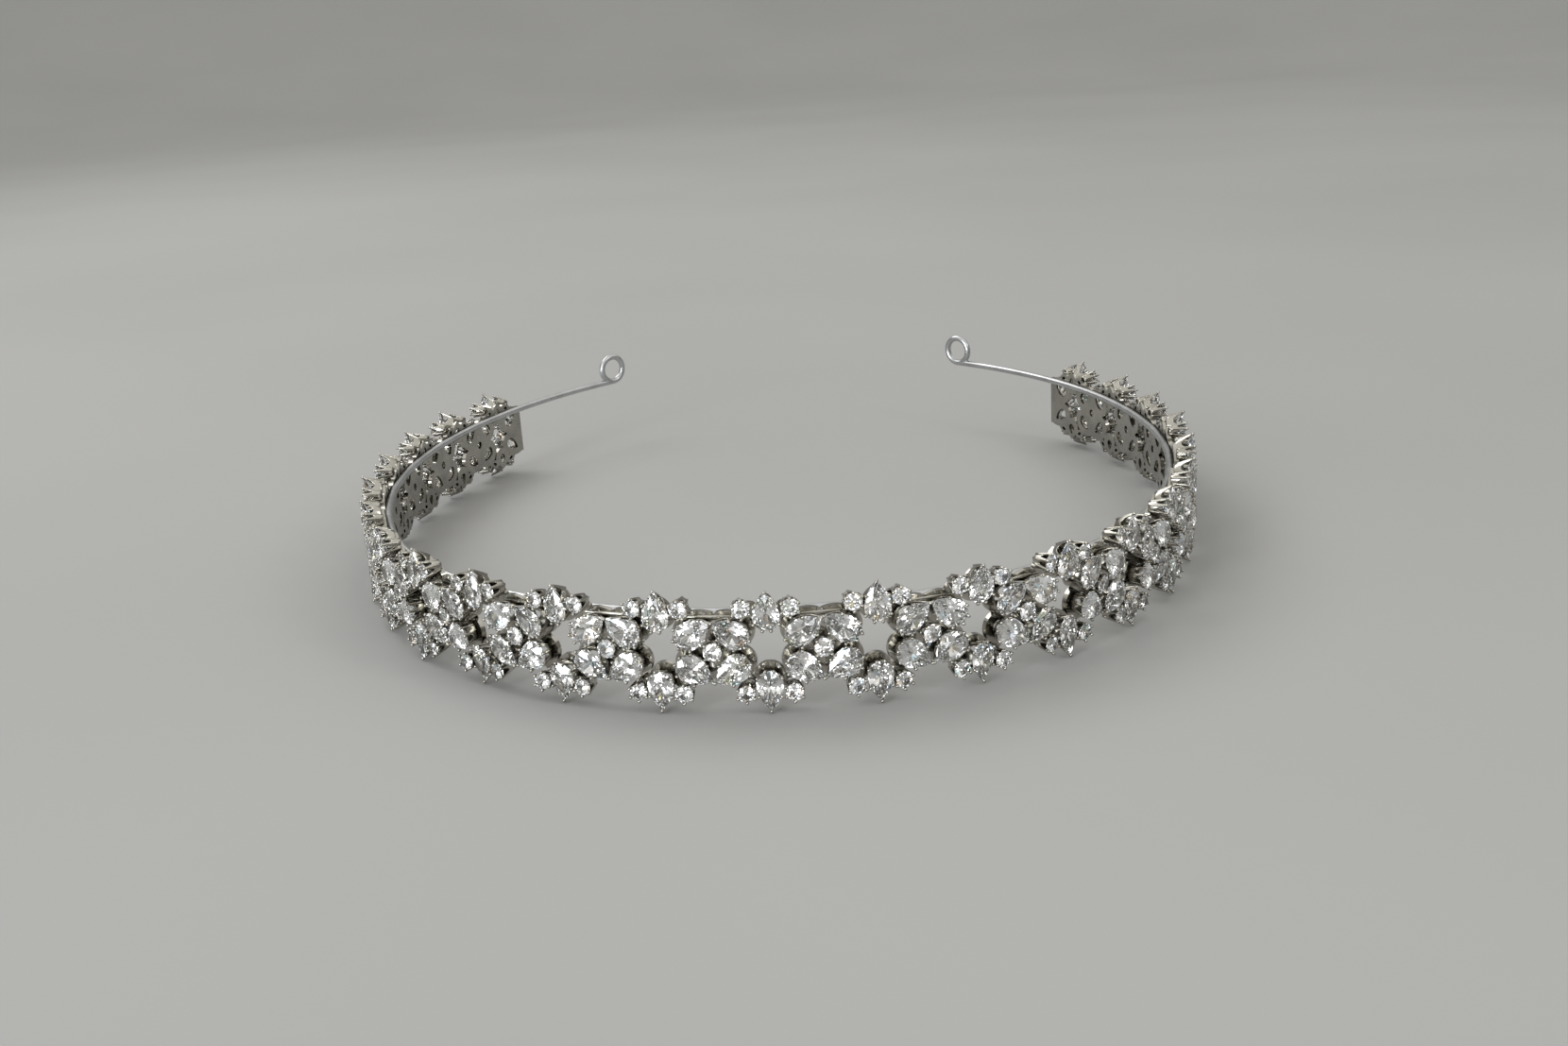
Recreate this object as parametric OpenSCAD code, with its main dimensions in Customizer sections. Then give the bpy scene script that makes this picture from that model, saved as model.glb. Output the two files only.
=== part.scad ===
// Bridal tiara: a horseshoe headband wire carrying a lattice of prong-set stones.
// Seen from above the front of the band faces -Y and the open end faces +Y.
// +Z is up, and the origin is the bottom centre of the bounding box.
// Along the band, trios of stones (round, pear, round) stand above and below diamonds
// of four pears round one centre stone. Every trio and every diamond is one casting.

/* [Headband] */
// Radius of the front arc of the headband wire
front_radius = 70; // [66:1:74]
// Length of the front arc on each side of the middle, along the wire
front_arc = 81; // [70:1:90]
// Radius of the side arcs of the headband wire
side_radius = 98; // [92:1:106]
// Length of the wire on each side of the middle, along the wire
wire_half = 203; // [195:1:210]
// Diameter of the headband wire
wire_d = 1.3; // [1.1:0.1:1.5]
// Diameter of the gallery wire that the castings are soldered to
gallery_d = 1; // [0.8:0.1:1.1]
// Outside diameter of the loop at each end of the wire
loop_d = 7; // [6:0.5:8]

/* [Pattern] */
// Distance from one trio to the next along the wire
pitch = 15.2; // [15:0.1:15.5]
// Height of the small round stones of a trio above the middle of the band
trio_round_y = 6.5; // [6.3:0.1:6.7]
// Distance of the small round stones from the centre line of their trio
trio_round_x = 3.5; // [3.4:0.05:3.7]
// Height of the round end's centre of a trio's pear above the middle of the band
trio_pear_y = 5.05; // [4.95:0.05:5.2]
// Distance of a diamond's pear points from the middle of the band
diamond_tip_y = 4.6; // [4.5:0.05:4.7]
// Slope of a diamond's pears
diamond_slope = 34; // [32:1:36]
// Distance by which the half diamond at each end stands nearer to the middle than a whole one
end_shift = 0.8; // [0:0.1:0.9]

/* [Stones] */
// Diameter of the small round stones in the trios
small_round_d = 2.6; // [2.4:0.1:2.7]
// Diameter of the round stone in the middle of a diamond
centre_round_d = 2.8; // [2.6:0.1:2.9]
// Width of a trio's pear
trio_pear_w = 3.9; // [3.7:0.1:4]
// Length of a trio's pear from its round end to its point
trio_pear_l = 6; // [5.8:0.1:6.1]
// Width of a diamond's pear
diamond_pear_w = 4.2; // [4:0.1:4.3]
// Length of a diamond's pear from its round end to its point
diamond_pear_l = 5.95; // [5.8:0.05:6.1]
// Width of the flat table of a stone as a share of the stone's width
table_share = 0.56; // [0.5:0.02:0.62]

/* [Settings] */
// Thickness of a casting's back plate
plate_t = 0.8; // [0.7:0.1:1]
// Rim of the back plate outside the stones
plate_rim = 0.45; // [0.4:0.05:0.5]
// Height of the stones' girdles outward from the centre of the headband wire
girdle = 4; // [3.8:0.1:4.4]
// Diameter of a prong
prong_d = 0.42; // [0.38:0.02:0.46]
// Diameter of the bead at the end of a prong
bead_d = 0.54; // [0.5:0.02:0.6]

/* [Hidden] */

$fn = 48;
// Pairs of trios, and of diamonds, on the two sides of the middle
PAIRS = 11;
// Facets round a stone's girdle
CUTS = 12;
// Outward distance of the prongs' centres from a stone's edge
prong_gap = 0.1;
// Angles of the prongs on a pear's round end, either way from its middle
END_PRONGS = [18, 64];
// Place of the prongs on a pear's flanks, as a share of the way to the point
FLANK_PRONG = 0.42;
// Length by which a prong runs past the girdle up to its bead's centre
prong_over = 0.25;
// The collar round each stone, just behind its girdle
collar_top = girdle - 0.35;
collar_t = 0.5;
collar_wall = 0.35;
// Share of the stone's width that the crown and the pavilion take
crown_share = 0.14;
pavilion_share = 0.43;
// Width of the strip between a back plate's edge and its window
plate_strip = 1.45;
// Width of the upright bar that closes each end of the lattice
end_bar_w = 0.9;
// Depth of the drilled land inside an end loop
loop_land = 0.05;

gallery_off = (wire_d + gallery_d) / 2 - 0.05;
plate_in = gallery_off - gallery_d / 2 + 0.05;
rail_y = diamond_tip_y;
gallery_y = rail_y - 0.2;
half_h = trio_pear_y + max(trio_pear_l - trio_pear_w / 2 + prong_gap + bead_d / 2,
    point_reach(trio_pear_w, trio_pear_l, plate_rim));
front_turn = front_arc / front_radius * 180 / PI;
loop_r = (loop_d - wire_d) / 2;
diamond_pear_h = diamond_pear_l - diamond_pear_w / 2;
diamond_tip_x = 0.25;
// Web that joins a diamond's pears round its centre stone: half width and height
web_w = 2.6;
web_h = 2 * diamond_tip_y - 1.8;
lattice_half = (PAIRS + 0.5) * pitch - end_shift;

// Diameter of the window in the back plate behind a round stone
function round_window(d) = d - 2 * (0.75 * plate_strip - plate_rim);
// Radius of a pear's flank, from its round end's radius and its point's distance
function flank_r(r, h) = (r * r + h * h) / (2 * r);
// Distance of a pear's point from its round end's centre, when grown by g
function point_reach(w, l, g) = let(f = flank_r(w / 2, l - w / 2))
    sqrt(pow(f + g, 2) - pow(f - w / 2, 2));

// Direction and position of the headband wire at the distance s from the middle
function turn(s) = sign(s) * (abs(s) < front_arc ? abs(s) / front_radius * 180 / PI
    : front_turn + (abs(s) - front_arc) / side_radius * 180 / PI);
function front_y(a) = front_radius * (1 - cos(a));
function run_x(a) = a < front_turn ? front_radius * sin(a)
    : front_radius * sin(front_turn) + side_radius * (sin(a) - sin(front_turn));
function run_y(a) = a < front_turn ? front_y(a)
    : front_y(front_turn) + side_radius * (cos(front_turn) - cos(a));

// The foremost point is a bead on the round end of the diamonds beside the middle trio
near_turn = turn(pitch / 2);
near_bead_x = diamond_tip_x + diamond_pear_h * cos(diamond_slope)
    + (diamond_pear_w / 2 + prong_gap) * cos(diamond_slope - END_PRONGS[0]);
face_out = (girdle + prong_over) * cos(near_turn) + near_bead_x * sin(near_turn)
    + bead_d / 2 - run_y(near_turn);
back_y = run_y(turn(wire_half)) + loop_r * sin(turn(wire_half)) + wire_d / 2;
shift_y = (face_out - back_y) / 2;

// Places a flat drawing on the band: x along the wire, y up from the middle, z outward
module on_band(s) {
    translate([sign(s) * run_x(abs(turn(s))), shift_y + run_y(abs(turn(s))), half_h])
        rotate([0, 0, turn(s)]) rotate([90, 0, 0]) children();
}

// A wire along the band from s0 to s1 on the side, at the offset and height given
module side_wire(s0, s1, off, y, d, side) {
    a0 = turn(s0);
    a1 = turn(s1);
    cx = (front_radius - side_radius) * sin(front_turn);
    cy = front_y(front_turn) + side_radius * cos(front_turn);
    mirror([side < 0 ? 1 : 0, 0, 0])
        translate([cx, cy + shift_y, half_h + y]) rotate([0, 0, a0 - 90])
            rotate_extrude(angle = a1 - a0, $fn = 96)
                translate([side_radius + off, 0]) circle(d = d, $fn = 36);
}

module front_wire(off, y, d) {
    translate([0, front_radius + shift_y, half_h + y]) rotate([0, 0, -90 - front_turn])
        rotate_extrude(angle = 2 * front_turn, $fn = 96)
            translate([front_radius + off, 0]) circle(d = d, $fn = 36);
}

// Outline of a pear with its round end's centre at the origin and its point up, grown by g
module pear_outline(w, l, g) {
    r = w / 2;
    flank = flank_r(r, l - r);
    circle(r = r + g);
    intersection() {
        translate([r - flank, 0]) circle(r = flank + g, $fn = 96);
        translate([flank - r, 0]) circle(r = flank + g, $fn = 96);
        translate([-w, 0]) square([2 * w, 2 * l]);
    }
}

// Girdle points of a stone, counterclockwise from its point or top
function flank_pt(r, h, a) = [flank_r(r, h) * cos(a) - flank_r(r, h) + r, flank_r(r, h) * sin(a)];
function pear_pts(w, l) = let(r = w / 2, h = l - r, top = asin(h / flank_r(r, h)), q = CUTS / 4)
    concat([[0, h]],
        [for (i = [q - 1:-1:1]) let(p = flank_pt(r, h, top * i / q)) [-p.x, p.y]],
        [for (i = [0:2 * q]) r * [cos(180 + i * 90 / q), sin(180 + i * 90 / q)]],
        [for (i = [1:q - 1]) flank_pt(r, h, top * i / q)]);
function round_pts(d) = [for (i = [0:CUTS - 1]) let(a = 90 + i * 360 / CUTS) d / 2 * [cos(a), sin(a)]];

// A cut stone on its girdle: flat table, three facets a table side, pavilion to a point
module stone(pts, w, mid) {
    half = CUTS / 2;
    table = [for (i = [0:half - 1]) let(p = mid + table_share * (pts[2 * i] - mid)) [p.x, p.y, w * crown_share]];
    rim = [for (p = pts) [p.x, p.y, 0]];
    translate([0, 0, girdle]) polyhedron(
        points = concat(rim, table, [[mid.x, mid.y, -w * pavilion_share]]),
        faces = concat(
            [[for (i = [half - 1:-1:0]) CUTS + i]],
            [for (i = [0:half - 1]) [2 * i, CUTS + i, 2 * i + 1]],
            [for (i = [0:half - 1]) [2 * i + 1, CUTS + i, CUTS + (i + 1) % half]],
            [for (i = [0:half - 1]) [2 * i + 1, CUTS + (i + 1) % half, (2 * i + 2) % CUTS]],
            [for (i = [0:CUTS - 1]) [(i + 1) % CUTS, CUTS + half, i]]));
}

module pear_stone(w, l) {
    color("white") stone(pear_pts(w, l), w, [0, (l - w) * 0.3]);
}

module round_stone(d) {
    color("white") stone(round_pts(d), d, [0, 0]);
}

// A prong with its bead, standing on the back plate
module prong() {
    translate([0, 0, plate_in]) cylinder(d = prong_d, h = girdle + prong_over - plate_in, $fn = 24);
    translate([0, 0, girdle + prong_over]) sphere(d = bead_d, $fn = 24);
}

module round_prongs(d, count, start) {
    for (i = [0:count - 1]) rotate([0, 0, start + i * 360 / count])
        translate([d / 2 + prong_gap, 0, 0]) prong();
}

module pear_prongs(w, l) {
    h = l - w / 2;
    translate([0, h + prong_gap, 0]) prong();
    for (side = [-1, 1]) {
        p = flank_pt(w / 2, h, asin(h / flank_r(w / 2, h)) * FLANK_PRONG);
        translate([side * (p.x + prong_gap), p.y, 0]) prong();
        for (a = END_PRONGS) rotate([0, 0, -90 + side * a])
            translate([w / 2 + prong_gap, 0, 0]) prong();
    }
}

module pear_collar(w, l) {
    translate([0, 0, collar_top - collar_t]) linear_extrude(height = collar_t) difference() {
        pear_outline(w, l, prong_gap);
        pear_outline(w, l, prong_gap - collar_wall);
    }
}

module round_collar(d) {
    translate([0, 0, collar_top - collar_t]) linear_extrude(height = collar_t) difference() {
        circle(d = d + 2 * prong_gap);
        circle(d = d + 2 * prong_gap - 2 * collar_wall);
    }
}

// Places a drawing of a pear in the diamond's quarter that sx and sy pick, so that its point
// is at the middle of the top or of the bottom
module diamond_quarter(sx, sy) {
    translate([sx * (diamond_tip_x + diamond_pear_h * cos(diamond_slope)),
        sy * (diamond_tip_y - diamond_pear_h * sin(diamond_slope)), 0])
        rotate([0, 0, atan2(sx * cos(diamond_slope), sy * sin(diamond_slope))]) children();
}

module plate() {
    translate([0, 0, plate_in]) linear_extrude(height = plate_t) children();
}

// Casting of a trio, with its pear pointing up
module trio_setting() {
    color("silver") {
        plate() difference() {
            union() {
                translate([0, trio_pear_y]) pear_outline(trio_pear_w, trio_pear_l, plate_rim);
                for (side = [-1, 1]) translate([side * trio_round_x, trio_round_y])
                    circle(d = small_round_d + 2 * plate_rim);
            }
            translate([0, trio_pear_y]) pear_outline(trio_pear_w, trio_pear_l, plate_rim - plate_strip);
            for (side = [-1, 1]) translate([side * trio_round_x, trio_round_y])
                circle(d = round_window(small_round_d));
        }
        translate([0, trio_pear_y, 0]) {
            pear_collar(trio_pear_w, trio_pear_l);
            pear_prongs(trio_pear_w, trio_pear_l);
        }
        for (side = [-1, 1]) translate([side * trio_round_x, trio_round_y, 0]) {
            round_collar(small_round_d);
            round_prongs(small_round_d, 6, 90);
        }
    }
}

// Back plate, collars and prongs of the diamond's pears in the halves that sides lists
module diamond_halves(sides, hole_d) {
    plate() difference() {
        union() {
            for (sx = sides, sy = [-1, 1]) diamond_quarter(sx, sy)
                pear_outline(diamond_pear_w, diamond_pear_l, plate_rim);
            for (sx = sides) translate([sx < 0 ? -web_w : 0, -web_h / 2]) square([web_w, web_h]);
        }
        for (sx = sides, sy = [-1, 1]) diamond_quarter(sx, sy)
            pear_outline(diamond_pear_w, diamond_pear_l, plate_rim - plate_strip);
        if (hole_d > 0) circle(d = hole_d);
    }
    for (sx = sides, sy = [-1, 1]) diamond_quarter(sx, sy) {
        pear_collar(diamond_pear_w, diamond_pear_l);
        pear_prongs(diamond_pear_w, diamond_pear_l);
    }
}

// Casting of a whole diamond
module diamond_setting() {
    color("silver") {
        diamond_halves([-1, 1], round_window(centre_round_d));
        round_collar(centre_round_d);
        round_prongs(centre_round_d, 4, 45);
    }
}

// Casting of the half diamond at an end of the lattice; sx picks the half
module end_diamond_setting(sx) {
    color("silver") diamond_halves([sx], 0);
}

// Upright bar that closes the lattice behind an end's half diamond
module end_bar() {
    color("silver") translate([-end_bar_w / 2, -diamond_tip_y - plate_rim, plate_in])
        cube([end_bar_w, 2 * (diamond_tip_y + plate_rim), plate_t]);
}

// Loop bent up at the end of the wire, which runs into the loop's lowest point
module end_loop(side) {
    color("silver") on_band(side * wire_half) translate([0, rail_y + loop_r, 0]) difference() {
        rotate_extrude($fn = 64) translate([loop_r, 0]) circle(d = wire_d, $fn = 36);
        translate([0, 0, -wire_d]) cylinder(r = loop_r - wire_d / 2 + loop_land, h = 2 * wire_d, $fn = 64);
    }
}

// The headband wire and the gallery wire are split where their bend changes
module headband_wire_front() color("gainsboro") front_wire(0, rail_y, wire_d);
module headband_wire_side(side) color("gainsboro")
    side_wire(front_arc, wire_half, 0, rail_y, wire_d, side);
module gallery_wire_front() color("silver") front_wire(gallery_off, gallery_y, gallery_d);
module gallery_wire_side(side) color("silver")
    side_wire(front_arc, lattice_half, gallery_off, gallery_y, gallery_d, side);

// Places a casting at the distance s from the middle, on each side
module pair_at(s) {
    on_band(-s) children();
    on_band(s) children();
}

module top_trio_setting_middle() on_band(0) trio_setting();
module bottom_trio_setting_middle() on_band(0) rotate([0, 0, 180]) trio_setting();
module top_trio_settings(n) pair_at(n * pitch) trio_setting();
module bottom_trio_settings(n) pair_at(n * pitch) rotate([0, 0, 180]) trio_setting();
module diamond_settings(n) pair_at((n - 0.5) * pitch) diamond_setting();

module end_settings() {
    for (side = [-1, 1]) on_band(side * lattice_half) {
        end_diamond_setting(-side);
        end_bar();
    }
}

module top_trio_pear_stones() {
    for (n = [-PAIRS:PAIRS]) on_band(n * pitch)
        translate([0, trio_pear_y, 0]) pear_stone(trio_pear_w, trio_pear_l);
}

module bottom_trio_pear_stones() {
    for (n = [-PAIRS:PAIRS]) on_band(n * pitch) rotate([0, 0, 180])
        translate([0, trio_pear_y, 0]) pear_stone(trio_pear_w, trio_pear_l);
}

module top_trio_round_stones() {
    for (n = [-PAIRS:PAIRS], side = [-1, 1]) on_band(n * pitch)
        translate([side * trio_round_x, trio_round_y, 0]) round_stone(small_round_d);
}

module bottom_trio_round_stones() {
    for (n = [-PAIRS:PAIRS], side = [-1, 1]) on_band(n * pitch)
        translate([side * trio_round_x, -trio_round_y, 0]) round_stone(small_round_d);
}

// Distance from the middle to the n-th diamond, or to the half diamond beyond the last one
function diamond_s(n) = abs(n + 0.5) > PAIRS ? sign(n + 0.5) * lattice_half : (n + 0.5) * pitch;

// The pears of one row: sy is 1 for the upper row of the diamonds and -1 for the lower row
module diamond_pear_row(sy) {
    for (n = [-PAIRS - 1:PAIRS]) on_band(diamond_s(n)) {
        if (n < PAIRS) diamond_quarter(1, sy) pear_stone(diamond_pear_w, diamond_pear_l);
        if (n > -PAIRS - 1) diamond_quarter(-1, sy) pear_stone(diamond_pear_w, diamond_pear_l);
    }
}

module diamond_upper_pear_stones() diamond_pear_row(1);
module diamond_lower_pear_stones() diamond_pear_row(-1);

module diamond_centre_stones() {
    for (n = [-PAIRS:PAIRS - 1]) on_band((n + 0.5) * pitch) round_stone(centre_round_d);
}

headband_wire_front();
headband_wire_side(-1);  // headband_wire_left
headband_wire_side(1);  // headband_wire_right
end_loop(-1);  // left_end_loop
end_loop(1);  // right_end_loop
gallery_wire_front();
gallery_wire_side(-1);  // gallery_wire_left
gallery_wire_side(1);  // gallery_wire_right
top_trio_setting_middle();
bottom_trio_setting_middle();
top_trio_settings(1);  // top_trio_settings_01
top_trio_settings(2);  // top_trio_settings_02
top_trio_settings(3);  // top_trio_settings_03
top_trio_settings(4);  // top_trio_settings_04
top_trio_settings(5);  // top_trio_settings_05
top_trio_settings(6);  // top_trio_settings_06
top_trio_settings(7);  // top_trio_settings_07
top_trio_settings(8);  // top_trio_settings_08
top_trio_settings(9);  // top_trio_settings_09
top_trio_settings(10);  // top_trio_settings_10
top_trio_settings(11);  // top_trio_settings_11
bottom_trio_settings(1);  // bottom_trio_settings_01
bottom_trio_settings(2);  // bottom_trio_settings_02
bottom_trio_settings(3);  // bottom_trio_settings_03
bottom_trio_settings(4);  // bottom_trio_settings_04
bottom_trio_settings(5);  // bottom_trio_settings_05
bottom_trio_settings(6);  // bottom_trio_settings_06
bottom_trio_settings(7);  // bottom_trio_settings_07
bottom_trio_settings(8);  // bottom_trio_settings_08
bottom_trio_settings(9);  // bottom_trio_settings_09
bottom_trio_settings(10);  // bottom_trio_settings_10
bottom_trio_settings(11);  // bottom_trio_settings_11
diamond_settings(1);  // diamond_settings_01
diamond_settings(2);  // diamond_settings_02
diamond_settings(3);  // diamond_settings_03
diamond_settings(4);  // diamond_settings_04
diamond_settings(5);  // diamond_settings_05
diamond_settings(6);  // diamond_settings_06
diamond_settings(7);  // diamond_settings_07
diamond_settings(8);  // diamond_settings_08
diamond_settings(9);  // diamond_settings_09
diamond_settings(10);  // diamond_settings_10
diamond_settings(11);  // diamond_settings_11
end_settings();
top_trio_pear_stones();
top_trio_round_stones();
diamond_upper_pear_stones();
diamond_centre_stones();
diamond_lower_pear_stones();
bottom_trio_pear_stones();
bottom_trio_round_stones();
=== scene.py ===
"""Looks of the bridal tiara: cut stones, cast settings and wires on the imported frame."""
import math
import random

import bmesh
import bpy
import numpy as np
from mathutils import Matrix, Vector


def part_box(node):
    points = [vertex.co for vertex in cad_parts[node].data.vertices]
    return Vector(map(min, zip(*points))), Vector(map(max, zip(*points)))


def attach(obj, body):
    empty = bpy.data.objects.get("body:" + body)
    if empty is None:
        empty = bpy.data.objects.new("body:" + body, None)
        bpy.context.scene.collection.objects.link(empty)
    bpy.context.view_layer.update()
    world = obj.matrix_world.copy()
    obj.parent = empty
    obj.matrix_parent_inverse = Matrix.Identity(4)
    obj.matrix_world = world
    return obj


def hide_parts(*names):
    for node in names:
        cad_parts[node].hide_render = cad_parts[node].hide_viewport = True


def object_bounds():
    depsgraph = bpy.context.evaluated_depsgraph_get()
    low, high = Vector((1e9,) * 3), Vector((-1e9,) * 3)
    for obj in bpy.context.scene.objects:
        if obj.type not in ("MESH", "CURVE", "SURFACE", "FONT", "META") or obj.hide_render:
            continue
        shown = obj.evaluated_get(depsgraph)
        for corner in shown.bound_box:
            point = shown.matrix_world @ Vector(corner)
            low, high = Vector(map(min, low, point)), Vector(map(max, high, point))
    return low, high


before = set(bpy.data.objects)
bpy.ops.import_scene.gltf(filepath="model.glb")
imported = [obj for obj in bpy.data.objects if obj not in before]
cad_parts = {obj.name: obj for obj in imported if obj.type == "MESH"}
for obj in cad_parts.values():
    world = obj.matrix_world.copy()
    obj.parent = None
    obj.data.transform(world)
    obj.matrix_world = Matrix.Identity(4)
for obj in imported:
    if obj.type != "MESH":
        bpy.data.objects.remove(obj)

CAD_LO, CAD_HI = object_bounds()
MM = 0.001
SEED = 7

# Camera: its place in metres in the row frame, its angles in degrees, its lens in millimetres
CAMERA_AT = (0.01133, -0.29264, 0.09848)
CAMERA_DOWN, CAMERA_LEFT, CAMERA_ROLL = 18.13, 2.13, 3.57
CAMERA_LENS = 37.13

# A brilliant-cut stone. Crown, depth and girdle are shares of the width. The stars meet at a share
# of the height from girdle to table, the lower facets at a share of that from culet to girdle. A
# pear's middle lies towards its point by a share of its extra length
MAIN_FACETS = 8
OUTLINE_TURN = 2 * MAIN_FACETS
TABLE_SHARE = 0.56
CROWN_SHARE = 0.15
DEPTH_SHARE = 0.41
MIDDLE_SHARE = 0.3
STAR_RISE = 0.46
LOWER_RISE = 0.22
GIRDLE_SHARE = 0.022
OUTLINE_POINTS = 72
INDEX_OF_REFRACTION = 2.16

# Finding a seat in a CAD stone: the girdle lies above this share of the height and this far below
# the table in millimetres, and a stone longer than this ratio is a pear
GIRDLE_FROM = 0.3
TABLE_CLEAR = 0.05
PEAR_RATIO = 1.08

# Castings, in millimetres. A CAD casting is cut off this far above its back plate's outer face
PLATE_THICK = 0.8
PLATE_CLEAR = 0.004
# A cup's base, low edges and rim, and its beads, are measured outward from the girdle. A taper is
# the share of the girdle's outline left at the base
CUP_BASE = -2.9
CUP_RIM = 0.02
CUP_LOW = {"pear": -1.75, "round": -1.55}
CUP_TAPER = {"pear": 0.60, "round": 0.62}
CUP_BEND = 0.8
CUP_LEVELS = (0, 0.08, 0.35, 0.65, 0.9, 1)
CUP_FLARE = 0.16
CUP_WALL = 0.26
# A cup's wall stays high this far each side of a prong, or this share of half the gap if less, and
# is scooped out between prongs. The ease adds a step part-way along the high part
BLADE_HALF = 0.20
BLADE_MOST = 0.3
BLADE_EASE = 0.6
SCOOP_STEPS = 10
# A rod runs up from the base through a knee, which is this share of the way and this far out
ROD_R = (0.17, 0.19)
BEAD_R = 0.27
BEAD_OUT, BEAD_UP = 0.1, 0.25
KNEE_SHARE, KNEE_OUT = 0.62, 0.10
# Prongs: degrees from a pear's round end, the place on its flank, and by a round stone's width the
# count and the first one's degrees
END_PRONGS = (18, 64)
FLANK_PRONG = 0.42
ROUND_PRONGS = {2.6: (6, 90), 2.8: (4, 45)}
# A stone belongs to a casting that is this near and faces the same way
CASTING_REACH = 6.6
SAME_WAY = math.cos(math.radians(0.6))
# A plate's face that points this far inward is its back
BACK_FACING = -0.5
# The trios' back plates draw in beyond this height from the band's middle, to these shares. The
# width reaches its share over the last distance
SHOULDER = 4.6
DRAWN_IN_HEIGHT, DRAWN_IN_WIDTH = 0.55, 0.72
DRAWN_IN_OVER = 3
BAND_MIDDLE = sum(corner.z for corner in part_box("diamond_settings_01")) / 2
# Each stone leans a little each way, as if set by hand, in degrees (typical and largest)
LEAN_TYPICAL, LEAN_MOST = 4.0, 7.0

# Stage, in metres
FLAT_FLOOR = 1.3
WALL_HEIGHT = 1.2
CURVE_STEPS, FLOOR_SIDES = 16, 96
FLOOR_TONES = ((0.372, 0.372, 0.364), (0.392, 0.392, 0.384))
AIM = (0, -0.02, 0.01)
COOL = (0.93, 0.96, 1.0)


# ---------------------------------------------------------------- node helpers
class Tree:
    """A material's or world's node tree, with short calls to add and join nodes."""

    def __init__(self, owner):
        owner.use_nodes = True
        self.tree = owner.node_tree
        self.tree.nodes.clear()

    def add(self, kind, **values):
        node = self.tree.nodes.new(kind)
        for key, value in values.items():
            setattr(node, key, value)
        return node

    def join(self, source, target):
        self.tree.links.new(source, target)

    def noise(self, coordinates, scale, detail=3.0, roughness=0.5):
        node = self.add("ShaderNodeTexNoise")
        node.inputs["Scale"].default_value = scale
        node.inputs["Detail"].default_value = detail
        node.inputs["Roughness"].default_value = roughness
        self.join(coordinates, node.inputs["Vector"])
        return node.outputs["Fac"]

    def spread(self, value, low, high, out_low, out_high):
        node = self.add("ShaderNodeMapRange")
        for name, number in (
            ("From Min", low), ("From Max", high), ("To Min", out_low), ("To Max", out_high),
        ):
            node.inputs[name].default_value = number
        self.join(value, node.inputs["Value"])
        return node.outputs["Result"]

    def ramp(self, value, stops):
        node = self.add("ShaderNodeValToRGB")
        elements = node.color_ramp.elements
        while len(elements) < len(stops):
            elements.new(0.5)
        for element, (place, colour) in zip(elements, stops):
            element.position = place
            element.color = (*colour, 1)
        self.join(value, node.inputs["Fac"])
        return node.outputs["Color"]

    def product(self, a, b):
        node = self.add("ShaderNodeMix", data_type="RGBA", blend_type="MULTIPLY")
        node.inputs["Factor"].default_value = 1
        self.join(a, node.inputs["A"])
        self.join(b, node.inputs["B"])
        return node.outputs["Result"]

    def bump(self, height, strength, distance):
        node = self.add("ShaderNodeBump")
        node.inputs["Strength"].default_value = strength
        node.inputs["Distance"].default_value = distance
        self.join(height, node.inputs["Height"])
        return node.outputs["Normal"]


# ---------------------------------------------------------------- materials
def metal(name, tones, rough, grain, grain_bump, painted_shade_tone):
    """Plated metal: tone and roughness vary softly, fine grain shows, and painted shade darkens the
    colour where the surface is occluded.
    """
    material = bpy.data.materials.new(name)
    t = Tree(material)
    place = t.add("ShaderNodeTexCoord").outputs["Object"]
    shader = t.add("ShaderNodeBsdfPrincipled")
    shader.inputs["Metallic"].default_value = 1.0
    soft = t.noise(place, 260, 4)
    colour = t.ramp(soft, [(0.3, tones[0]), (0.7, tones[1])])
    # Painted shade: an occlusion node darkens the tone towards the given shade colour where the surface
    # is hemmed in, in corners, recesses and between parts.
    if painted_shade_tone:
        hollow = t.add("ShaderNodeAmbientOcclusion", samples=4)
        hollow.inputs["Distance"].default_value = 1.2 * MM
        painted_shade = t.ramp(hollow.outputs["AO"], [(0.15, painted_shade_tone), (0.85, (1, 1, 1))])
        colour = t.product(colour, painted_shade)
    t.join(colour, shader.inputs["Base Color"])
    fine = t.noise(place, grain, 5, 0.6)
    t.join(t.spread(fine, 0.3, 0.7, *rough), shader.inputs["Roughness"])
    t.join(t.bump(fine, grain_bump, 0.02 * MM), shader.inputs["Normal"])
    t.join(shader.outputs["BSDF"], t.add("ShaderNodeOutputMaterial").inputs["Surface"])
    return material


# Painted fire: tints of split light that patches of a stone send back, by their place on the ramp
PAINTED_FIRE = [(0.1, (1.0, 0.62, 0.30)), (0.35, (1.0, 0.90, 0.45)), (0.65, (0.45, 0.92, 0.95)),
        (0.9, (0.42, 0.62, 1.0))]


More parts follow.
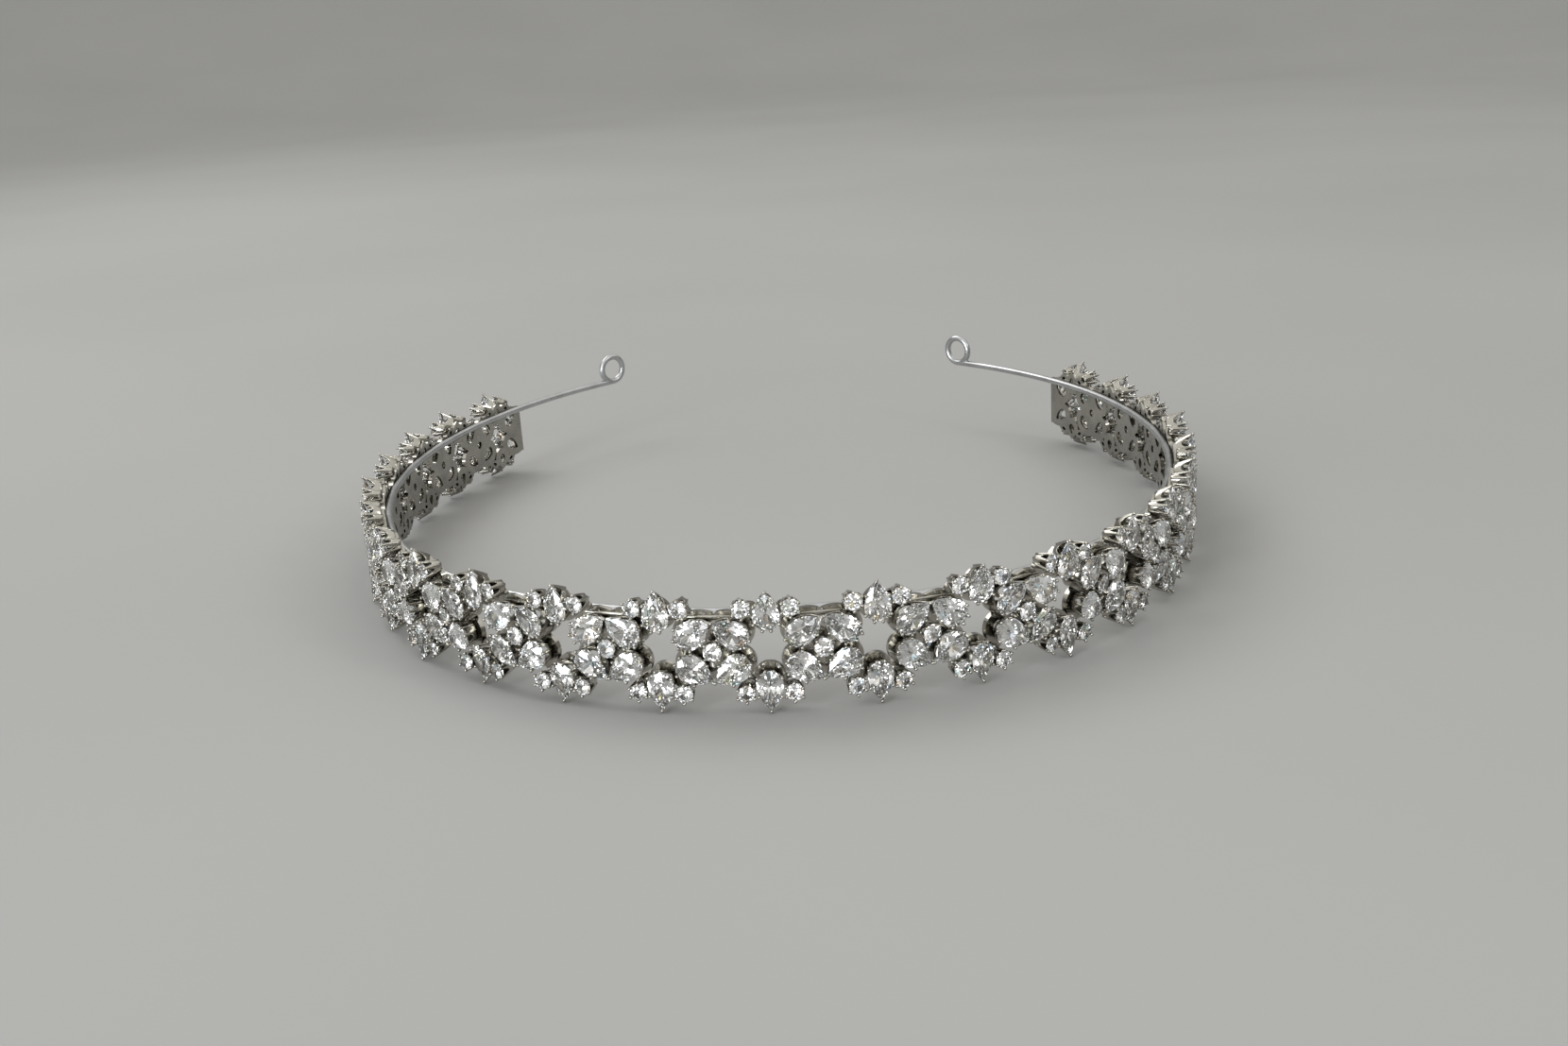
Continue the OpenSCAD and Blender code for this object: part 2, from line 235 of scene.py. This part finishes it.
def gem(name, clear, painted_fire_share):
    """Clear cut stone. A few painted patches, about a facet wide, stand in for coloured fire."""
    material = bpy.data.materials.new(name)
    t = Tree(material)
    place = t.add("ShaderNodeTexCoord").outputs["Object"]
    soft = t.noise(place, 240, 2)
    body = t.ramp(soft, [(0.3, clear[0]), (0.7, clear[1])])
    cells = t.add("ShaderNodeTexVoronoi", feature="F1")
    cells.inputs["Scale"].default_value = 1100
    t.join(place, cells.inputs["Vector"])
    split = t.add("ShaderNodeSeparateColor")
    t.join(cells.outputs["Color"], split.inputs["Color"])
    fire = t.ramp(split.outputs["Red"], PAINTED_FIRE)
    # Painted fire: a share of the cells take a tint from the ramp in place of the stone's clear colour.
    pick = t.add("ShaderNodeMix", data_type="RGBA")
    t.join(t.spread(split.outputs["Green"], 1 - painted_fire_share, 1, 0, 1), pick.inputs["Factor"])
    t.join(body, pick.inputs["A"])
    t.join(fire, pick.inputs["B"])
    shader = t.add("ShaderNodeBsdfPrincipled")
    shader.inputs["Transmission Weight"].default_value = 1.0
    shader.inputs["IOR"].default_value = INDEX_OF_REFRACTION
    shader.inputs["Roughness"].default_value = 0.0
    t.join(pick.outputs["Result"], shader.inputs["Base Color"])
    t.join(shader.outputs["BSDF"], t.add("ShaderNodeOutputMaterial").inputs["Surface"])
    return material


# The last argument of each metal is the colour of its painted shade in occluded places; the drawn wire
# gets none.
CAST = metal("rhodium_cast", ((0.37, 0.355, 0.31), (0.54, 0.525, 0.475)), (0.08, 0.20), 2600, 0.25,
             (0.16, 0.145, 0.115))
BACK = metal("cast_back", ((0.31, 0.30, 0.27), (0.44, 0.43, 0.39)), (0.22, 0.36), 2200, 0.3,
             (0.50, 0.48, 0.43))
DRAWN = metal("drawn_wire", ((0.43, 0.44, 0.44), (0.56, 0.57, 0.575)), (0.24, 0.42), 3400, 0.3, None)
GALLERY = metal("gallery_wire", ((0.42, 0.41, 0.36), (0.56, 0.55, 0.49)), (0.12, 0.26), 3000, 0.2,
                (0.35, 0.33, 0.31))
STONE = gem("cut_crystal", ((0.955, 0.96, 0.965), (1, 1, 1)), 0.12)


# ---------------------------------------------------------------- cut stones
def solids_of(node):
    """Each separate solid of a CAD node: its points, its triangles, and its largest flat's normal."""
    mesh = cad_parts[node].data
    mesh.calc_loop_triangles()
    points = np.empty(len(mesh.vertices) * 3)
    mesh.vertices.foreach_get("co", points)
    corners = np.empty(len(mesh.loop_triangles) * 3, np.int32)
    mesh.loop_triangles.foreach_get("vertices", corners)
    points = points.reshape(-1, 3)
    keys = np.round(points / (0.002 * MM)).astype(int)
    _, first, weld = np.unique(keys, axis=0, return_index=True, return_inverse=True)
    points = points[first]
    triangles = weld.reshape(-1)[corners].reshape(-1, 3)
    label = np.arange(len(points))
    while True:
        lower = label.copy()
        np.minimum.at(lower, triangles.ravel(), np.repeat(label[triangles].min(axis=1), 3))
        lower = lower[lower]
        if (lower == label).all():
            break
        label = lower
    made = []
    for one in np.unique(label[triangles[:, 0]]):
        used, own = np.unique(triangles[label[triangles[:, 0]] == one], return_inverse=True)
        own = own.reshape(-1, 3)
        own = own[(own[:, 0] != own[:, 1]) & (own[:, 1] != own[:, 2]) & (own[:, 2] != own[:, 0])]
        solid = points[used]
        cross = np.cross(solid[own[:, 1]] - solid[own[:, 0]], solid[own[:, 2]] - solid[own[:, 0]])
        area = np.linalg.norm(cross, axis=1)
        cross, area = cross[area > 0], area[area > 0]
        _, group = np.unique(np.round(cross / area[:, None], 2) + 0.0, axis=0, return_inverse=True)
        group = group.reshape(-1)
        facing = cross[group == np.bincount(group, area).argmax()].sum(axis=0)
        made.append((solid, own, facing))
    return made


def seat_of(own, facing):
    """A stone's seat from its CAD solid: its matrix, width and length, with +Y towards the point."""
    out = Vector(facing).normalized()
    height = own @ np.array(out)
    culet = own[height.argmin()]
    levels = np.sort(height)
    above = height > levels[0] + GIRDLE_FROM * (levels[-1] - levels[0])
    rim = own[above & (height < levels[-1] - TABLE_CLEAR * MM)]
    level = float(np.mean(rim @ np.array(out)))
    under = Vector(culet) + out * (level - float(culet @ np.array(out)))
    reach = rim - np.array(under)
    far = reach[np.linalg.norm(reach, axis=1).argmax()]
    up = Vector(far).normalized()
    side = up.cross(out)
    across, along = rim @ np.array(side), rim @ np.array(up)
    width, length = float(np.ptp(across)), float(np.ptp(along))
    if length < PEAR_RATIO * width:
        length = width
        up = Vector((0, 0, 1))
        side = up.cross(out)
    centre = under - up * ((length - width) * MIDDLE_SHARE)
    turn = Matrix((side, up, out)).transposed().to_4x4()
    return Matrix.Translation(centre) @ turn, width, length


def outline_point(width, length, place):
    """Point and outward direction of the girdle. place runs clockwise from 0 at the point or top
    to OUTLINE_TURN, in even steps round a circle; a pear's flank and end take a quarter each."""
    r = width / 2
    half_turn, quarter = OUTLINE_TURN / 2, OUTLINE_TURN / 4
    half = place if place <= half_turn else OUTLINE_TURN - place
    if length > width:
        h = length - r
        flank = (r * r + h * h) / (2 * r)
        if half < quarter:
            a = math.asin(h / flank) * (1 - half / quarter)
            x, y = flank * math.cos(a) - flank + r, flank * math.sin(a)
        else:
            a = -(half - quarter) / quarter * math.pi / 2
            x, y = r * math.cos(a), r * math.sin(a)
        if half == 0:
            a = math.pi / 2
    else:
        a = math.pi / 2 - half * math.pi / half_turn
        x, y = r * math.cos(a), r * math.sin(a)
    sign = 1 if place <= half_turn else -1
    return Vector((sign * x, y, 0)), Vector((sign * math.cos(a), math.sin(a), 0))


def plane_through(a, b, c, inside):
    """A point and the outward normal of the plane through three points."""
    normal = (b - a).cross(c - a).normalized()
    if (inside - a).dot(normal) > 0:
        normal = -normal
    return a, normal


def meeting(one, two, height):
    """Where two sloping planes cross at a given height."""
    rows = Matrix(((one[1].x, one[1].y), (two[1].x, two[1].y)))
    right = Vector((
        one[0].dot(one[1]) - one[1].z * height,
        two[0].dot(two[1]) - two[1].z * height,
    ))
    found = rows.inverted() @ right
    return Vector((found.x, found.y, height))


def brilliant(width, length, crown, depth):
    """Mesh of a brilliant-cut round or pear stone with its girdle at height 0."""
    band = GIRDLE_SHARE * width
    middle = Vector((0, (length - width) * MIDDLE_SHARE, 0))
    rim = [outline_point(width, length, i) for i in range(OUTLINE_TURN)]
    up, down = Vector((0, 0, band)), Vector((0, 0, -band))
    over = Vector((0, 0, crown))
    table = [middle + TABLE_SHARE * (rim[2 * i][0] - middle) + over for i in range(MAIN_FACETS)]
    culet = middle + Vector((0, 0, -depth))
    planes = [(over, Vector((0, 0, 1)))]
    mains, lower = [], []
    for i in range(MAIN_FACETS):
        point, out = rim[2 * i]
        along = Vector((-out.y, out.x, 0))
        mains.append(plane_through(point + up, point + up + along, table[i], middle))
        lower.append(plane_through(point + down, point + down + along, culet, middle))
    for i in range(MAIN_FACETS):
        following = (i + 1) % MAIN_FACETS
        star = meeting(mains[i], mains[following], band + STAR_RISE * (crown - band))
        low = meeting(lower[i], lower[following], -depth + LOWER_RISE * (depth - band))
        planes.append(plane_through(table[i], table[following], star, middle))
        for j in (2 * i, 2 * i + 1):
            a, b = rim[j][0], rim[(j + 1) % OUTLINE_TURN][0]
            planes.append(plane_through(a + up, b + up, star, middle))
            planes.append(plane_through(a + down, b + down, low, middle))
    planes += mains + lower
    work = bmesh.new()
    ring = [
        outline_point(width, length, OUTLINE_TURN * i / OUTLINE_POINTS)[0]
        for i in range(OUTLINE_POINTS)
    ]
    tall = 2 * (crown + depth)
    bottom = [work.verts.new(p - Vector((0, 0, tall))) for p in ring]
    top = [work.verts.new(p + Vector((0, 0, tall))) for p in ring]
    work.faces.new(bottom)
    work.faces.new(top[::-1])
    for i in range(OUTLINE_POINTS):
        j = (i + 1) % OUTLINE_POINTS
        work.faces.new((bottom[i], top[i], top[j], bottom[j]))
    bmesh.ops.recalc_face_normals(work, faces=work.faces)
    for point, normal in planes:
        cut = bmesh.ops.bisect_plane(
            work, geom=work.verts[:] + work.edges[:] + work.faces[:], dist=0.0002 * MM,
            plane_co=point, plane_no=normal, clear_outer=True,
        )
        edges = [e for e in cut["geom_cut"] if isinstance(e, bmesh.types.BMEdge) and e.is_boundary]
        if edges:
            bmesh.ops.contextual_create(work, geom=edges)
    bmesh.ops.remove_doubles(work, verts=work.verts, dist=0.002 * MM)
    bmesh.ops.recalc_face_normals(work, faces=work.faces)
    return work


def append_to(whole, mesh, place):
    """Add a copy of a mesh to a bmesh, moved by a matrix."""
    before = len(whole.verts)
    whole.from_mesh(mesh)
    whole.verts.ensure_lookup_table()
    bmesh.ops.transform(whole, matrix=place, verts=whole.verts[before:])


def lean(place):
    """A small seeded turn of one stone and its cup, about the girdle's centre."""
    def turn():
        return max(-LEAN_MOST, min(LEAN_MOST, chance.gauss(0, LEAN_TYPICAL)))
    up_here = place.to_3x3().inverted() @ Vector((0, 0, 1))
    tip_up = Matrix.Rotation(math.radians(turn()), 4, Vector((0, 0, 1)).cross(up_here))
    return tip_up @ Matrix.Rotation(math.radians(turn()), 4, up_here)


def set_stones(node):
    """One piece with a cut stone on every seat of a CAD stone node. Returns the seats."""
    whole, cut, seats = bmesh.new(), {}, []
    for own, _, facing in solids_of(node):
        place, width, length = seat_of(own, facing)
        out = place.col[2].to_3d()
        seats.append((place @ lean(place), round(width / MM, 2), round(length / MM, 2), out))
    for place, width, length, _ in seats:
        if (width, length) not in cut:
            crown, depth = CROWN_SHARE * width * MM, DEPTH_SHARE * width * MM
            one = brilliant(width * MM, length * MM, crown, depth)
            cut[width, length] = bpy.data.meshes.new("cut")
            one.to_mesh(cut[width, length])
            one.free()
        spin = chance.uniform(0, math.pi / 4) if width == length else 0
        append_to(whole, cut[width, length], place @ Matrix.Rotation(spin, 4, "Z"))
    mesh = bpy.data.meshes.new(node + "_cut")
    whole.to_mesh(mesh)
    whole.free()
    for spare in cut.values():
        bpy.data.meshes.remove(spare)
    mesh.materials.append(STONE)
    piece = bpy.data.objects.new(node + "_cut", mesh)
    bpy.context.scene.collection.objects.link(piece)
    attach(piece, "root")
    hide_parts(node)
    return seats


chance = random.Random(SEED)
SEATS = [seat for name in list(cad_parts) if name.endswith("_stones") for seat in set_stones(name)]


# ---------------------------------------------------------------- cast settings
def rim_line(width, length, steps=320):
    """The girdle line in millimetres: points, outward directions, and distance along it."""
    points, outs = [], []
    for i in range(steps):
        point, out = outline_point(width, length, OUTLINE_TURN * i / steps)
        points.append((point.x, point.y))
        outs.append((out.x, out.y))
    points, outs = np.array(points), np.array(outs)
    steps_long = np.linalg.norm(np.roll(points, -1, axis=0) - points, axis=1)
    along = np.concatenate([[0], np.cumsum(steps_long)])
    return points, outs, along


def prong_places(width, length):
    """Where prongs stand on the girdle line, as points in millimetres."""
    r = width / 2
    if length == width:
        count, start = ROUND_PRONGS[width]
        turns = [math.radians(start + i * 360 / count) for i in range(count)]
        return [(r * math.cos(a), r * math.sin(a)) for a in turns]
    h = length - r
    flank = (r * r + h * h) / (2 * r)
    a = math.asin(h / flank) * FLANK_PRONG
    places = [(0, h)]
    for side in (-1, 1):
        places.append((side * (flank * math.cos(a) - flank + r), flank * math.sin(a)))
        for turn in END_PRONGS:
            b = math.radians(-90 + side * turn)
            places.append((r * math.cos(b), r * math.sin(b)))
    return places


def cup(width, length):
    """Fluted cup under one stone: a tapered wall that is high at the prongs and scooped between
    them, with a rod up each flute and a bead on the stone's edge. Millimetres, girdle at 0."""
    kind = "round" if length == width else "pear"
    points, outs, along = rim_line(width, length)
    total = along[-1]
    middle = np.array([0, (length - width) * MIDDLE_SHARE])
    marks = []
    for place in prong_places(width, length):
        nearest = np.linalg.norm(points - np.array(place), axis=1).argmin()
        marks.append(along[nearest])
    marks.sort()
    samples = []
    for i, here in enumerate(marks):
        gap = (marks[(i + 1) % len(marks)] - here) % total
        blade = min(BLADE_HALF, BLADE_MOST * gap / 2)
        for share in (0, BLADE_EASE, 1):
            samples.append((here + share * blade, 1.0))
        for k in range(1, SCOOP_STEPS):
            x = 1 - math.cos(k / SCOOP_STEPS * math.pi)
            reach = blade + (gap - 2 * blade) * x / 2
            edge = 1 - min(x, 2 - x)
            samples.append((here + reach, 1 - math.sqrt(max(0.0, 1 - edge * edge))))
        for share in (1, BLADE_EASE):
            samples.append((here + gap - share * blade, 1.0))
    low = CUP_LOW[kind]
    work = bmesh.new()
    outer, inner = [], []
    for place, high in samples:
        place %= total
        rim = np.array([np.interp(place, along, np.append(points[:, k], points[0, k])) for k in (0, 1)])
        out = np.array([np.interp(place, along, np.append(outs[:, k], outs[0, k])) for k in (0, 1)])
        out /= max(np.linalg.norm(out), 1e-6)
        top = low + (CUP_RIM - low) * high
        column, hollow = [], []
        for share in CUP_LEVELS:
            z = CUP_BASE + (top - CUP_BASE) * share
            rise = (z - CUP_BASE) / (CUP_RIM - CUP_BASE)
            taper = CUP_TAPER[kind] + (1 - CUP_TAPER[kind]) * rise ** CUP_BEND
            edge = middle + (rim - middle) * taper + out * CUP_FLARE * rise
            far = np.linalg.norm(edge - middle)
            back = middle + (edge - middle) * (1 - CUP_WALL / far)
            column.append(work.verts.new((*edge, z)))
            hollow.append(work.verts.new((*back, z)))
        outer.append(column)
        inner.append(hollow)
    for i, (column, hollow) in enumerate(zip(outer, inner)):
        j = (i + 1) % len(outer)
        for k in range(len(CUP_LEVELS) - 1):
            work.faces.new((column[k], outer[j][k], outer[j][k + 1], column[k + 1]))
            work.faces.new((hollow[k], hollow[k + 1], inner[j][k + 1], inner[j][k]))
        work.faces.new((column[-1], outer[j][-1], inner[j][-1], hollow[-1]))
        work.faces.new((column[0], hollow[0], inner[j][0], outer[j][0]))
    for place in prong_places(width, length):
        nearest = np.linalg.norm(points - np.array(place), axis=1).argmin()
        rim, out = points[nearest], outs[nearest]
        head = Vector((*(np.array(place) + out * BEAD_OUT), BEAD_UP))
        foot = Vector((*(middle + (rim - middle) * CUP_TAPER[kind]), CUP_BASE))
        knee = foot.lerp(head, KNEE_SHARE) + Vector((*(out * KNEE_OUT), 0))
        rod(work, (foot, knee, head), ROD_R)
        bmesh.ops.create_uvsphere(
            work, u_segments=12, v_segments=8, radius=BEAD_R, matrix=Matrix.Translation(head)
        )
    bmesh.ops.recalc_face_normals(work, faces=work.faces)
    for face in work.faces:
        face.smooth = True
    return work


def rod(work, corners, radii, sides=10, steps=6):
    """A round rod that bends gently through three corners."""
    a, b, c = corners
    rings = []
    for i in range(steps + 1):
        t = i / steps
        centre = a * (1 - t) ** 2 + b * 2 * t * (1 - t) + c * t * t
        way = ((b - a) * (1 - t) + (c - b) * t).normalized()
        side = way.orthogonal().normalized() if i == 0 else (side - way * side.dot(way)).normalized()
        other = way.cross(side)
        radius = radii[0] + (radii[1] - radii[0]) * t
        rings.append([
            work.verts.new(centre + (side * math.cos(q) + other * math.sin(q)) * radius)
            for q in (k / sides * 2 * math.pi for k in range(sides))
        ])
    for low, high in zip(rings, rings[1:]):
        for k in range(sides):
            j = (k + 1) % sides
            work.faces.new((low[k], low[j], high[j], high[k]))
    work.faces.new(rings[0])
    work.faces.new(rings[-1])


def plate(own, triangles, out):
    """The back plate of one CAD casting: the solid cut off just above the plate's outer face."""
    work = bmesh.new()
    corners = [work.verts.new(point) for point in own]
    for triangle in triangles:
        three = [corners[i] for i in triangle]
        if not work.faces.get(three):
            work.faces.new(three)
    level = float((own @ np.array(out)).min()) + (PLATE_THICK + PLATE_CLEAR) * MM
    cut = bmesh.ops.bisect_plane(
        work, geom=work.verts[:] + work.edges[:] + work.faces[:], dist=0.0005 * MM,
        plane_co=out * level, plane_no=out, clear_outer=True,
    )
    edges = [e for e in cut["geom_cut"] if isinstance(e, bmesh.types.BMEdge)]
    bmesh.ops.holes_fill(work, edges=edges, sides=0)
    work.normal_update()
    for face in work.faces:
        face.material_index = 0 if face.normal.dot(out) < BACK_FACING else 1
    return work


def draw_in(work, out):
    """Taper a trio's plate beyond its shoulder, as its cups do."""
    side = Vector((0, 0, 1)).cross(out)
    centre = sum((v.co.dot(side) for v in work.verts), 0.0) / len(work.verts)
    for v in work.verts:
        past = abs(v.co.z - BAND_MIDDLE) - SHOULDER * MM
        if past > 0:
            sign = 1 if v.co.z > BAND_MIDDLE else -1
            narrow = 1 - (1 - DRAWN_IN_WIDTH) * min(1, past / (DRAWN_IN_OVER * MM))
            v.co += side * (v.co.dot(side) - centre) * (narrow - 1)
            v.co.z = BAND_MIDDLE + sign * (SHOULDER * MM + past * DRAWN_IN_HEIGHT)


def set_castings():
    """Every casting as its CAD back plate with a fluted cup, rods and beads under each stone."""
    cups = {}
    for _, width, length, _ in SEATS:
        if (width, length) not in cups:
            one = cup(width, length)
            bmesh.ops.scale(one, vec=(MM, MM, MM), verts=one.verts)
            cups[width, length] = bpy.data.meshes.new("cup")
            for face in one.faces:
                face.material_index = 1
            one.to_mesh(cups[width, length])
            one.free()
    for node in [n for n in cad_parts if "setting" in n]:
        work = bmesh.new()
        for own, triangles, facing in solids_of(node):
            middle, out = Vector(own.mean(0)), Vector(facing).normalized()
            if out.dot(middle) < 0:
                out = -out
            one = plate(own, triangles, out)
            if "trio" in node:
                draw_in(one, out)
            flat = bpy.data.meshes.new("plate")
            one.to_mesh(flat)
            one.free()
            append_to(work, flat, Matrix.Identity(4))
            bpy.data.meshes.remove(flat)
            for place, width, length, way in SEATS:
                near = (place.translation - middle).length < CASTING_REACH * MM
                if near and way.dot(out) > SAME_WAY:
                    append_to(work, cups[width, length], place)
        mesh = bpy.data.meshes.new(node + "_cast")
        work.to_mesh(mesh)
        work.free()
        mesh.materials.append(BACK)
        mesh.materials.append(CAST)
        piece = bpy.data.objects.new(node + "_cast", mesh)
        bpy.context.scene.collection.objects.link(piece)
        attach(piece, "root")
        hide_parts(node)
    for spare in cups.values():
        bpy.data.meshes.remove(spare)


# ---------------------------------------------------------------- wires
def coat_wires():
    """The CAD wires and loops are kept as they are and given their metal."""
    for name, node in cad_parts.items():
        if "wire" in name or "loop" in name:
            node.data.materials.clear()
            node.data.materials.append(GALLERY if name.startswith("gallery") else DRAWN)


# ---------------------------------------------------------------- stage, light and camera
def backdrop():
    """A pale floor that curves up into a low wall all round, well away from the object."""
    work = bmesh.new()
    profile = [(0.0, 0.0), (FLAT_FLOOR, 0.0)]
    for i in range(1, CURVE_STEPS + 1):
        a = i / CURVE_STEPS * math.pi / 2
        profile.append((FLAT_FLOOR + WALL_HEIGHT * math.sin(a), WALL_HEIGHT * (1 - math.cos(a))))
    rings = []
    for reach, height in profile[1:]:
        rings.append([
            work.verts.new((reach * math.cos(a), reach * math.sin(a), height))
            for a in (i / FLOOR_SIDES * 2 * math.pi for i in range(FLOOR_SIDES))
        ])
    work.faces.new(rings[0])
    for low, high in zip(rings, rings[1:]):
        for i in range(FLOOR_SIDES):
            j = (i + 1) % FLOOR_SIDES
            work.faces.new((low[i], high[i], high[j], low[j])).smooth = True
    mesh = bpy.data.meshes.new("backdrop")
    work.to_mesh(mesh)
    work.free()
    material = bpy.data.materials.new("pale_floor")
    t = Tree(material)
    place = t.add("ShaderNodeTexCoord").outputs["Object"]
    shader = t.add("ShaderNodeBsdfPrincipled")
    tone = t.ramp(t.noise(place, 4, 2), [(0.35, FLOOR_TONES[0]), (0.65, FLOOR_TONES[1])])
    t.join(tone, shader.inputs["Base Color"])
    shader.inputs["Roughness"].default_value = 0.85
    shader.inputs["Specular IOR Level"].default_value = 0.0
    t.join(shader.outputs["BSDF"], t.add("ShaderNodeOutputMaterial").inputs["Surface"])
    mesh.materials.append(material)
    made = bpy.data.objects.new("backdrop", mesh)
    made.location.z = CAD_LO.z
    bpy.context.scene.collection.objects.link(made)


def softbox(name, at, size, power, colour=(1, 1, 1), towards=AIM, diffuse=True):
    """A soft area light, unseen by the camera. Without diffuse it shows only as a reflection."""
    light = bpy.data.lights.new(name, "AREA")
    light.shape = "RECTANGLE"
    light.size, light.size_y = size
    light.energy = power
    light.color = colour
    made = bpy.data.objects.new(name, light)
    made.location = at
    made.rotation_mode = "QUATERNION"
    made.rotation_quaternion = (Vector(towards) - Vector(at)).to_track_quat("-Z", "Y")
    made.visible_camera = False
    made.visible_diffuse = diffuse
    bpy.context.scene.collection.objects.link(made)


def studio():
    """A pale, even surround, a soft window from behind, and soft lights at the front."""
    world = bpy.data.worlds.new("studio")
    bpy.context.scene.world = world
    t = Tree(world)
    way = t.add("ShaderNodeSeparateXYZ")
    t.join(t.add("ShaderNodeTexCoord").outputs["Generated"], way.inputs["Vector"])
    sky = t.ramp(t.spread(way.outputs["Z"], -0.2, 1, 0, 1),
                 [(0.0, (0.50, 0.49, 0.47)), (0.4, (0.86, 0.85, 0.82)), (1.0, (0.96, 0.95, 0.93))])
    shader = t.add("ShaderNodeBackground")
    shader.inputs["Strength"].default_value = 1.0
    t.join(sky, shader.inputs["Color"])
    t.join(shader.outputs["Background"], t.add("ShaderNodeOutputWorld").inputs["Surface"])
    softbox("window", (-0.55, 0.45, 0.75), (0.7, 0.5), 3.0)
    softbox("low_left", (-0.50, -0.60, 0.08), (0.60, 0.14), 3.0, COOL, (0, -0.02, 0.08), False)
    softbox("front_left", (-0.42, -0.62, 0.34), (0.22, 0.30), 1.6, COOL)
    softbox("front_right", (0.62, -0.38, 0.52), (0.16, 0.24), 0.8)
    softbox("low_strip", (0.12, -0.80, 0.09), (0.36, 0.10), 0.4, COOL, AIM, False)


def camera():
    """The photo's view, turned down, left and round by the angles above."""
    data = bpy.data.cameras.new("camera")
    data.sensor_width = 36
    data.lens = CAMERA_LENS
    data.clip_start, data.clip_end = 0.005, 20
    made = bpy.data.objects.new("camera", data)
    down, left, roll = (math.radians(a) for a in (CAMERA_DOWN, CAMERA_LEFT, CAMERA_ROLL))
    forward = Vector((-math.sin(left) * math.cos(down), math.cos(left) * math.cos(down), -math.sin(down)))
    right = Vector((math.cos(left), math.sin(left), 0))
    up = right.cross(forward)
    turn = Matrix((right, up, -forward)).transposed().to_4x4()
    made.matrix_world = Matrix.Translation(CAMERA_AT) @ turn @ Matrix.Rotation(-roll, 4, "Z")
    bpy.context.scene.collection.objects.link(made)
    bpy.context.scene.camera = made


set_castings()
coat_wires()
backdrop()
studio()
camera()
bpy.context.scene.view_settings.view_transform = "Standard"
paths = bpy.context.scene.cycles
paths.max_bounces, paths.glossy_bounces, paths.transmission_bounces = 20, 14, 14
